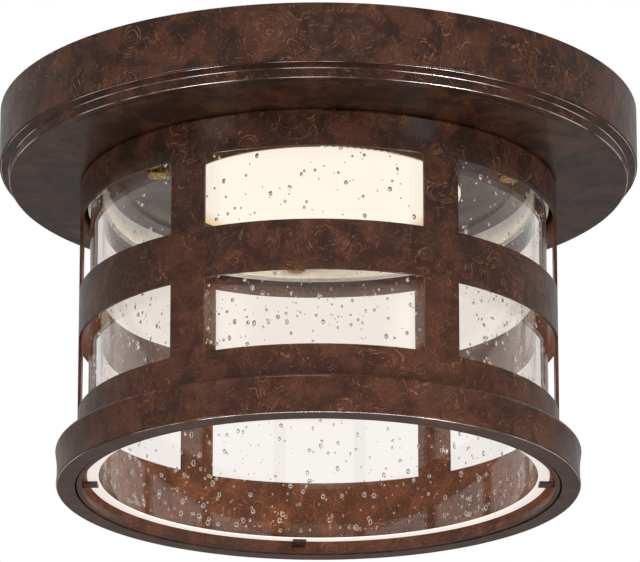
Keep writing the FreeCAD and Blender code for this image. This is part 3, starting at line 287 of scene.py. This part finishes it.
def brush_strokes(finish, size, width, step):
    """Short arcs of a brush, turned round centres that lie a swirl's size apart."""
    shift = tuple(step * part for part in LAYER_SHIFT)
    moved = finish.add("VectorMath", [(0, finish.here), (1, shift)]).outputs[0]
    bend = finish.noise(size, detail=1.0, where=moved, output="Color")
    pull = finish.add("VectorMath", [(0, bend), ("Scale", size * SWIRL_PULL)],
                      operation="SCALE").outputs[0]
    where = finish.add("VectorMath", [(0, moved), (1, pull)]).outputs[0]
    swirl = finish.add("TexVoronoi", [("Vector", where), ("Scale", 1.0 / size)]).outputs
    reach = swirl["Distance"]
    chance = finish.add("SeparateColor", [(0, swirl["Color"])]).outputs

    rings = finish.calculate("MULTIPLY", reach, size / width)
    turned = finish.calculate("MULTIPLY", chance[0], SWIRL_PHASE)
    jitter = finish.calculate("MULTIPLY", finish.noise(0.004, where=where), STROKE_WANDER)
    phase = finish.calculate("ADD", rings, turned, jitter)
    hair = finish.add("TexNoise", [
        ("W", phase), ("Scale", 1.0), ("Detail", 1.0), ("Roughness", 0.6)],
        noise_dimensions="1D").outputs[0]

    patch = finish.noise(0.0030, roughness=0.6, distortion=0.5, where=moved)
    return finish.calculate(
        "MULTIPLY",
        finish.remap(hair, given=(0.50, 0.72)),
        finish.remap(patch, given=(0.44, 0.64)),
        finish.remap(reach, given=(0.50, 0.78), wanted=(1.0, 0.30)),
        finish.remap(chance[1], given=(0.10, 0.75), wanted=(0.45, 1.0)),
        finish.remap(reach, given=(0.06, 0.22)))


def painted_highlight_edge(colours):
    """Painted highlights on the rounded edges, where the lamps gleam, here more and there less.
    """
    finish = Finish("painted_highlight_edge")
    highlight_patches = finish.remap(finish.noise(0.030, detail=3.0, roughness=0.6), given=(0.36, 0.62))
    fine = finish.remap(finish.noise(0.0015, roughness=0.6), given=MOST, wanted=(0.80, 1.0))
    share = finish.calculate("MULTIPLY", highlight_patches, fine)
    colour = finish.mix(share, linear(colours.bronze_light), linear(colours.bronze_painted_highlight))
    return finish.close(Base_Color=colour, Roughness=0.32, Metallic=0.55,
                        Specular_IOR_Level=0.5)


def seeded_glass():
    """Clear glass, tinted a little warm: painted light of the warm module."""
    finish = Finish("clear_seeded_glass")
    return finish.close(Base_Color=(0.935, 0.895, 0.855, 1.0), Roughness=0.0, IOR=GLASS_IOR,
                        Transmission_Weight=1.0)


def seed_skin_painted_glow():
    """The skin of a bubble in the glass. Its rim has a painted glow for the module's light."""
    finish = Finish("seed_skin_painted_glow")
    turned = finish.add("LayerWeight", [("Blend", 0.5)]).outputs["Facing"]
    rim = finish.remap(turned, given=(0.55, 0.82))
    # Painted light: the rim glows with emitted light
    glow = finish.mix(rim, BLACK, (0.86, 0.80, 0.74, 1.0))
    return finish.close(Base_Color=(0.97, 0.96, 0.95, 1.0), Roughness=0.0, IOR=GLASS_IOR,
                        Transmission_Weight=1.0, Emission_Color=glow, Emission_Strength=1.5)


def ground_edge(colours):
    """The glass's ground foot, with a painted glow for the module's light through the wall."""
    finish = Finish("ground_glass_edge")
    grit = finish.noise(0.0004, detail=3.0, roughness=0.6)
    clouds = finish.remap(finish.noise(0.02, detail=3.0), given=MOST, wanted=(0.94, 1.0))
    glow = finish.shade(linear(colours.glass_foot_painted_glow), clouds)
    return finish.close(Base_Color=(0.55, 0.54, 0.53, 1.0), Roughness=0.55,
                        Emission_Color=glow, Emission_Strength=0.74,
                        Normal=finish.bump(grit, depth=0.00002))


def glowing_opal(colours, radius):
    """Opal plastic. It glows where it looks down, a little darker at its rear edge."""
    finish = Finish("glowing_opal")
    across, along, _ = finish.split(finish.here)
    flat = finish.add("CombineXYZ", [(0, across), (1, along)]).outputs[0]
    reach = finish.add("VectorMath", [(0, flat)], operation="LENGTH").outputs["Value"]
    rim = finish.remap(reach, given=(radius * 0.80, radius))
    rear = finish.remap(along, given=(-0.010, 0.030))
    share = finish.calculate("MULTIPLY", rim, rear)
    glow = finish.mix(share, linear(colours.diffuser_glow), linear(colours.diffuser_rim))
    below = finish.remap(finish.facing_up(), given=(-0.85, -0.45), wanted=(1.0, 0.0))
    body = finish.mix(below, (0.110, 0.055, 0.025, 1.0), (0.10, 0.10, 0.095, 1.0))
    return finish.close(Base_Color=body, Roughness=0.35,
                        Emission_Color=finish.mix(below, BLACK, glow), Emission_Strength=1.04,
                        Normal=finish.bump(finish.noise(0.0012), depth=0.00001))


def pale_floor():
    """A pale floor. The camera sees it brighter, and the lantern gets no light from that."""
    finish = Finish("pale_floor")
    seen = finish.add("LightPath").outputs["Is Camera Ray"]
    clouds = finish.remap(finish.noise(0.5), given=MOST, wanted=(0.98, 1.0))
    glow = finish.mix(seen, BLACK, finish.shade(WHITE, clouds))
    return finish.close(Base_Color=(0.80, 0.80, 0.80, 1.0), Roughness=0.8,
                        Emission_Color=glow, Emission_Strength=0.45)


def plain(name, dark, light, size, rough=(0.35, 0.5), depth=0.00001, metal=0.0):
    """A finish of one colour with cloudy, fine variation in tone, gloss and height."""
    finish = Finish(name)
    clouds = finish.noise(size, detail=4.0, roughness=0.6, distortion=0.2)
    fine = finish.noise(size * 0.13, detail=3.0, roughness=0.6)
    both = finish.calculate("ADD", finish.calculate("MULTIPLY", clouds, 0.7),
                            finish.calculate("MULTIPLY", fine, 0.3))
    colour = finish.mix(finish.remap(both, given=(0.35, 0.65)), linear(dark), linear(light))
    gloss = finish.remap(clouds, given=MOST, wanted=rough)
    return finish.close(Base_Color=colour, Roughness=gloss, Metallic=metal,
                        Specular_IOR_Level=0.5, Normal=finish.bump(fine, depth))


# Meshes

def lathe(name, outline, segments, shift=None):
    """Turn a closed outline of (radius, height) round the upright axis."""
    mesh = bmesh.new()
    rings = []
    for step in range(segments):
        angle = 2 * math.pi * step / segments
        ring = []
        for radius, height in outline:
            reach = radius + (shift(radius, height, angle) if shift else 0.0)
            spot = (reach * math.sin(angle), -reach * math.cos(angle), height)
            ring.append(mesh.verts.new(spot))
        rings.append(ring)
    for step in range(segments):
        here, there = rings[step], rings[(step + 1) % segments]
        for corner in range(len(outline)):
            after = (corner + 1) % len(outline)
            mesh.faces.new((here[corner], here[after], there[after], there[corner]))
    bmesh.ops.recalc_face_normals(mesh, faces=mesh.faces)
    return finished(name, mesh)


def ball(subdivisions):
    """Corners and sides of a ball with a radius of 1."""
    mesh = bmesh.new()
    bmesh.ops.create_icosphere(mesh, subdivisions=subdivisions, radius=1.0)
    spots = [vert.co.copy() for vert in mesh.verts]
    sides = [tuple(vert.index for vert in face.verts) for face in mesh.faces]
    mesh.free()
    return spots, sides


def finished(name, mesh):
    """Turn a bmesh into an object with smooth faces and sharp corners."""
    data = bpy.data.meshes.new(name)
    mesh.to_mesh(data)
    mesh.free()
    piece = bpy.data.objects.new(name, data)
    bpy.context.scene.collection.objects.link(piece)
    data.shade_smooth()
    data.set_sharp_from_angle(angle=SMOOTH_ANGLE)
    return piece


def settle(piece, body, material, replaced=()):
    """Give a piece its material, its body and the nodes that it stands for."""
    piece.data.materials.clear()
    piece.data.materials.append(material)
    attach(piece, body)
    if replaced:
        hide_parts(*replaced)


def dress(material, nodes):
    """Give CAD nodes a material."""
    for name in nodes:
        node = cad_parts[name]
        node.data.materials.clear()
        node.data.materials.append(material)


def dress_plain(finishes):
    """Give CAD nodes their plain finishes."""
    for name, nodes in finishes.items():
        dress(plain(name, **PLAIN_FINISHES[name]), nodes)


# Pieces

class LANTERN_OT_metalwork(bpy.types.Operator):
    """Brush the bronze finish on the pan, the cage, its ring and the clips"""

    bl_idname = "lantern.metalwork"
    bl_label = "Bronze metalwork"

    nodes = ("canopy", "cage", "trim_ring", *(f"glass_clip_{side}" for side in CLIP_SIDES))
    segments = 360
    # The squarer foot of the pan's bead: radius and height in millimetres
    bead = (
        (126.75, -25.20), (126.50, -25.36), (126.30, -25.50), (126.15, -25.70),
        (126.08, -25.95), (126.08, -29.05), (126.05, -29.25), (125.95, -29.42),
        (125.80, -29.52), (125.60, -29.56), (121.00, -29.28), (121.00, -28.70),
        (123.50, -28.50), (125.00, -26.50), (125.60, -25.20))
    # Edge rings with painted highlights: radius, height and thickness in millimetres
    edges = {
        "edge_band": (129.42, -24.12, 0.36),
        "edge_ledge": (126.22, -25.58, 0.42),
        "edge_bead": (125.93, -29.36, 0.40),
        "edge_ring": (104.88, -158.54, 0.36),
    }
    edge_corners = 8

    def execute(self, context):
        scene = context.scene
        bronze = brushed_bronze(scene.lantern_colours, scene.lantern_sizes)
        dress(bronze, self.nodes)
        bead = lathe("pan_bead", [(r * MM, z * MM) for r, z in self.bead], self.segments)
        settle(bead, ROOT, bronze)
        # Painted highlights: thin bright rings on the rounded edges
        highlighted = painted_highlight_edge(scene.lantern_colours)
        for name, place in self.edges.items():
            edge = lathe(name, self.edge_outline(*place), self.segments)
            settle(edge, ROOT, highlighted)
        return {"FINISHED"}

    def edge_outline(self, radius, height, width):
        """The round section of an edge ring with a painted highlight."""
        half = width / 2
        turns = [2 * math.pi * k / self.edge_corners for k in range(self.edge_corners)]
        return [((radius + half * math.sin(turn)) * MM, (height - half * math.cos(turn)) * MM)
                for turn in turns]


class LANTERN_OT_glass(bpy.types.Operator):
    """Blow the glass cylinder, slightly wavy, with its seeds, and fit its gasket"""

    bl_idname = "lantern.glass"
    bl_label = "Seeded glass"

    segments = 256
    rows = 28
    wall = 0.00465
    grind = 0.0004
    joint = 0.00002

    # Waves in the faces: how close they lie, how much closer upwards, how far the inner face's
    # differ from the outer's, and how far from the ends they fade
    waves = 2.4
    wave_rise = 9
    wave_shift = 900
    calm = 0.006

    # Seeds: start of the random draws, how rare large ones are, how far they are drawn out,
    # their distance from the faces in radii, how they gather low down, the wall left free at
    # the foot and at both ends together, and the radius from which they are rounder
    draws = 31
    rarity = 2.4
    drawn_out = 0.55
    depth = 1.5
    gather = 1.5
    foot_free = 0.003
    ends_free = 0.012
    round_seed = 0.00045

    def execute(self, context):
        sizes = context.scene.lantern_sizes
        low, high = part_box("glass_cylinder")
        outer = high.x
        inner = outer - self.wall
        foot = low.z + sizes.glass_edge

        wall = self.cylinder(sizes, inner, outer, foot, high.z)
        settle(wall, ROOT, seeded_glass(), ["glass_cylinder"])
        edge = self.foot_edge(inner, outer, low.z, foot - self.joint)
        settle(edge, ROOT, ground_edge(context.scene.lantern_colours))
        seeds = self.seeds(sizes, inner, outer, foot, high.z)
        settle(seeds, ROOT, seed_skin_painted_glow())
        # Clear glass would throw the shadow of a solid wall on what is inside
        for piece in (wall, seeds):
            piece.visible_shadow = False
        dress_plain({"white_silicone": ("glass_gasket",)})
        return {"FINISHED"}

    def cylinder(self, sizes, inner, outer, foot, top):
        """The glass's wall, whose faces wander inwards in slow waves."""
        grind = self.grind
        heights = [foot + (top - foot - grind) * k / self.rows for k in range(self.rows + 1)]
        outline = [(inner, z) for z in heights]
        outline += [(inner + grind, top), (outer - grind, top)]
        outline += [(outer, z) for z in reversed(heights)]

        def wander(radius, height, angle):
            spot = Vector((math.cos(angle), math.sin(angle), height * self.wave_rise))
            wave = noise.noise(spot * self.waves + Vector((0, 0, radius * self.wave_shift)))
            room = min(1.0, (height - foot) / self.calm, (top - height) / self.calm)
            inward = -1 if radius > (inner + outer) / 2 else 1
            return inward * sizes.glass_wave * (1 + wave) * max(room, 0.0)

        return lathe("glass_wall", outline, self.segments, wander)

    def foot_edge(self, inner, outer, low, top):
        """The ground foot of the glass, with its corners taken off."""
        bevel = self.grind / 2
        return lathe("glass_edge", [
            (inner, top), (outer, top), (outer, low + bevel), (outer - bevel, low),
            (inner + bevel, low), (inner, low + bevel)], self.segments)

    def seeds(self, sizes, inner, outer, low, high):
        """Bubbles in the glass's wall. Their faces look inwards, because they are hollows."""
        chance = random.Random(self.draws)
        balls = (ball(1), ball(2))
        corners, faces = [], []
        for _ in range(sizes.seed_count):
            share = chance.random() ** self.rarity
            radius = sizes.seed_smallest + (sizes.seed_largest - sizes.seed_smallest) * share
            stretch = radius * (1.0 + self.drawn_out * chance.random())
            margin = self.depth * radius
            reach = chance.uniform(inner + margin, outer - margin)
            angle = chance.uniform(0, 2 * math.pi)
            rise = chance.random() ** self.gather
            height = low + self.foot_free + (high - low - self.ends_free) * rise
            middle = Vector((reach * math.cos(angle), reach * math.sin(angle), height))
            start = len(corners)
            spots, sides = balls[radius > self.round_seed]
            corners += [(middle.x + spot.x * radius, middle.y + spot.y * radius,
                         middle.z + spot.z * stretch) for spot in spots]
            faces += [tuple(start + corner for corner in reversed(side)) for side in sides]
        data = bpy.data.meshes.new("glass_seeds")
        data.from_pydata(corners, [], faces)
        data.shade_smooth()
        piece = bpy.data.objects.new("glass_seeds", data)
        bpy.context.scene.collection.objects.link(piece)
        return piece


class LANTERN_OT_light_module(bpy.types.Operator):
    """Finish the glowing diffuser, the heat sink and the light board with its chips"""

    bl_idname = "lantern.light_module"
    bl_label = "Light module"

    lip = 0.0022
    finishes = {
        "cast_aluminium": ("heat_sink",),
        "white_mask": ("light_board",),
        "phosphor": ("light_chips",),
    }

    def execute(self, context):
        _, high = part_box("diffuser")
        opal = glowing_opal(context.scene.lantern_colours, high.x - self.lip)
        dress(opal, ("diffuser",))
        dress_plain(self.finishes)
        return {"FINISHED"}


class LANTERN_OT_fasteners(bpy.types.Operator):
    """Finish the nuts, screws and washers"""

    bl_idname = "lantern.fasteners"
    bl_label = "Nuts, screws and washers"

    finishes = {
        "polished_brass": ("canopy_cap_nuts", *(f"thumb_nut_{side}" for side in NUT_SIDES)),
        "zinc_plate": (
            "canopy_washers", "canopy_screws", "cage_screws", "lock_nuts", "module_nuts",
            "board_screws", "case_screws", "terminal_screws",
            *(f"washer_{side}" for side in NUT_SIDES)),
        "green_passivate": ("ground_screw",),
    }

    def execute(self, context):
        dress_plain(self.finishes)
        return {"FINISHED"}


class LANTERN_OT_pan_inside(bpy.types.Operator):
    """Finish the mounting plate and the foam seal inside the pan"""

    bl_idname = "lantern.pan_inside"
    bl_label = "Plate and seal"

    finishes = {
        "galvanised_plate": ("mounting_plate",),
        "foam": ("ceiling_seal",),
    }

    def execute(self, context):
        dress_plain(self.finishes)
        return {"FINISHED"}


class LANTERN_OT_driver(bpy.types.Operator):
    """Finish the driver, its terminals and its leads"""

    bl_idname = "lantern.driver"
    bl_label = "Driver and leads"

    finishes = {
        "moulded_case": ("driver_case", "driver_lid"),
        "green_mask": ("driver_board",),
        "coil_tape": ("transformer",),
        "can_sleeve": ("capacitors",),
        "terminal_grey": ("terminal_block",),
        "black_rubber": ("lead_gland",),
        "red_sleeve": ("light_lead_red",),
        "black_sleeve": ("light_lead_black",),
    }

    def execute(self, context):
        dress_plain(self.finishes)
        return {"FINISHED"}


class LANTERN_OT_stage(bpy.types.Operator):
    """Set the floor, the studio light and the camera"""

    bl_idname = "lantern.stage"
    bl_label = "Stage"

    camera_place = (0.00065, -2.1887, -0.8021)
    camera_pitch = 108.48
    camera_sight = 50.0
    sensor = 36.0
    focal_pixels = 5682.3
    picture_width = 640

    floor_height = -5.0
    floor_size = 30.0

    # The room's light by the height of the direction: from and to, and the two strengths
    room_heights = (-0.7, 0.4)
    room_light = (0.10, 0.42)

    # Soft boxes: name, place, width and height, watts, and where all of them look
    boxes = (
        ("key_left", (-2.2, -2.0, -1.0), (0.7, 0.7), 34.0),
        ("key_right", (2.2, -2.0, -1.0), (0.7, 0.7), 42.0),
        ("low_strip", (0.7, -2.3, -1.7), (2.6, 0.14), 15.0),
        ("front_high", (0.0, -2.4, 2.7), (2.4, 1.2), 62.0),
    )
    aim = (0.0, 0.0, -0.08)

    # The module's lamps: name, watts, and whether they show as gloss or light surfaces
    module_lamps = (("module_light", 0.30, False), ("module_gleam", 0.32, True))
    module_colour = (1.0, 0.78, 0.48)
    module_margin = 0.004
    module_gap = 0.0003

    def execute(self, context):
        scene = context.scene
        scene.view_settings.view_transform = "Standard"
        self.camera(scene)
        self.world(scene)
        self.floor()
        for name, place, size, watts in self.boxes:
            self.soft_box(scene, name, place, size, watts)
        self.light_module(scene)
        return {"FINISHED"}

    def camera(self, scene):
        """The camera that took the photograph."""
        camera = bpy.data.cameras.new("camera")
        camera.sensor_width = self.sensor
        camera.lens = self.focal_pixels / self.picture_width * self.sensor
        camera.clip_end = self.camera_sight
        holder = bpy.data.objects.new("camera", camera)
        holder.location = self.camera_place
        holder.rotation_euler = (math.radians(self.camera_pitch), 0.0, 0.0)
        scene.collection.objects.link(holder)
        scene.camera = holder

    def world(self, scene):
        """A soft room for the object, and a white ground for the camera and the glass."""
        world = bpy.data.worlds.new("studio")
        nodes = Nodes(world, "Generated")
        path = nodes.add("LightPath").outputs
        seen = nodes.calculate("MAXIMUM", path["Is Camera Ray"], path["Is Transmission Ray"])
        room = nodes.remap(nodes.split(nodes.here)[2], self.room_heights, self.room_light)
        strength = nodes.add("Mix", [(0, seen), (2, room), (3, 1.0)]).outputs[0]
        sky = nodes.add("Background", [("Strength", strength), ("Color", WHITE)])
        nodes.add("OutputWorld", [(0, sky.outputs[0])])
        scene.world = world

    def floor(self):
        """A pale floor, far enough below for every view."""
        half = self.floor_size / 2
        mesh = bmesh.new()
        corners = [mesh.verts.new((x * half, y * half, self.floor_height))
                   for x, y in ((-1, -1), (1, -1), (1, 1), (-1, 1))]
        mesh.faces.new(corners)
        piece = finished("stage_floor", mesh)
        piece.data.materials.append(pale_floor())

    def lamp(self, scene, name, shape, place, watts):
        """An area light at a place."""
        light = bpy.data.lights.new(name, "AREA")
        light.shape = shape
        light.energy = watts
        holder = bpy.data.objects.new(name, light)
        holder.location = place
        scene.collection.objects.link(holder)
        return holder

    def soft_box(self, scene, name, place, size, watts):
        """A soft box that looks at the lantern."""
        holder = self.lamp(scene, name, "RECTANGLE", place, watts)
        holder.data.size, holder.data.size_y = size
        towards = Vector(self.aim) - Vector(place)
        holder.rotation_euler = towards.to_track_quat("-Z", "Y").to_euler()

    def light_module(self, scene):
        """The light that the module throws down, and its gleam in the glass."""
        low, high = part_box("diffuser")
        place = (0.0, 0.0, low.z - self.module_gap)
        for name, watts, gleams in self.module_lamps:
            holder = self.lamp(scene, name, "DISK", place, watts)
            holder.data.size = 2 * (high.x - self.module_margin)
            holder.data.color = self.module_colour
            holder.visible_camera = False
            holder.visible_glossy = gleams
            holder.visible_diffuse = not gleams
            holder.visible_transmission = False


class LANTERN_PT_panel(bpy.types.Panel):
    """The lantern's sizes, colours and pieces"""

    bl_idname = "LANTERN_PT_panel"
    bl_label = "Porch ceiling lantern"
    bl_space_type = "VIEW_3D"
    bl_region_type = "UI"
    bl_category = "Lantern"

    def draw(self, context):
        for group in (context.scene.lantern_sizes, context.scene.lantern_colours):
            for name in group.__annotations__:
                self.layout.prop(group, name)
        for operator in OPERATORS:
            self.layout.operator(operator.bl_idname)


OPERATORS = (
    LANTERN_OT_metalwork, LANTERN_OT_glass, LANTERN_OT_light_module, LANTERN_OT_fasteners,
    LANTERN_OT_pan_inside, LANTERN_OT_driver, LANTERN_OT_stage,
)
CLASSES = (LanternSizes, LanternColours, *OPERATORS, LANTERN_PT_panel)


def register():
    """Register the classes and give the scene its values."""
    for item in CLASSES:
        bpy.utils.register_class(item)
    bpy.types.Scene.lantern_sizes = bpy.props.PointerProperty(type=LanternSizes)
    bpy.types.Scene.lantern_colours = bpy.props.PointerProperty(type=LanternColours)


def unregister():
    """Take the values and the classes away again."""
    del bpy.types.Scene.lantern_colours
    del bpy.types.Scene.lantern_sizes
    for item in reversed(CLASSES):
        bpy.utils.unregister_class(item)


def main():
    """Dress the lantern."""
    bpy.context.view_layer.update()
    register()
    for operator in OPERATORS:
        group, name = operator.bl_idname.split(".")
        getattr(getattr(bpy.ops, group), name)()
    bpy.context.view_layer.update()


if __name__ == "__main__":
    main()
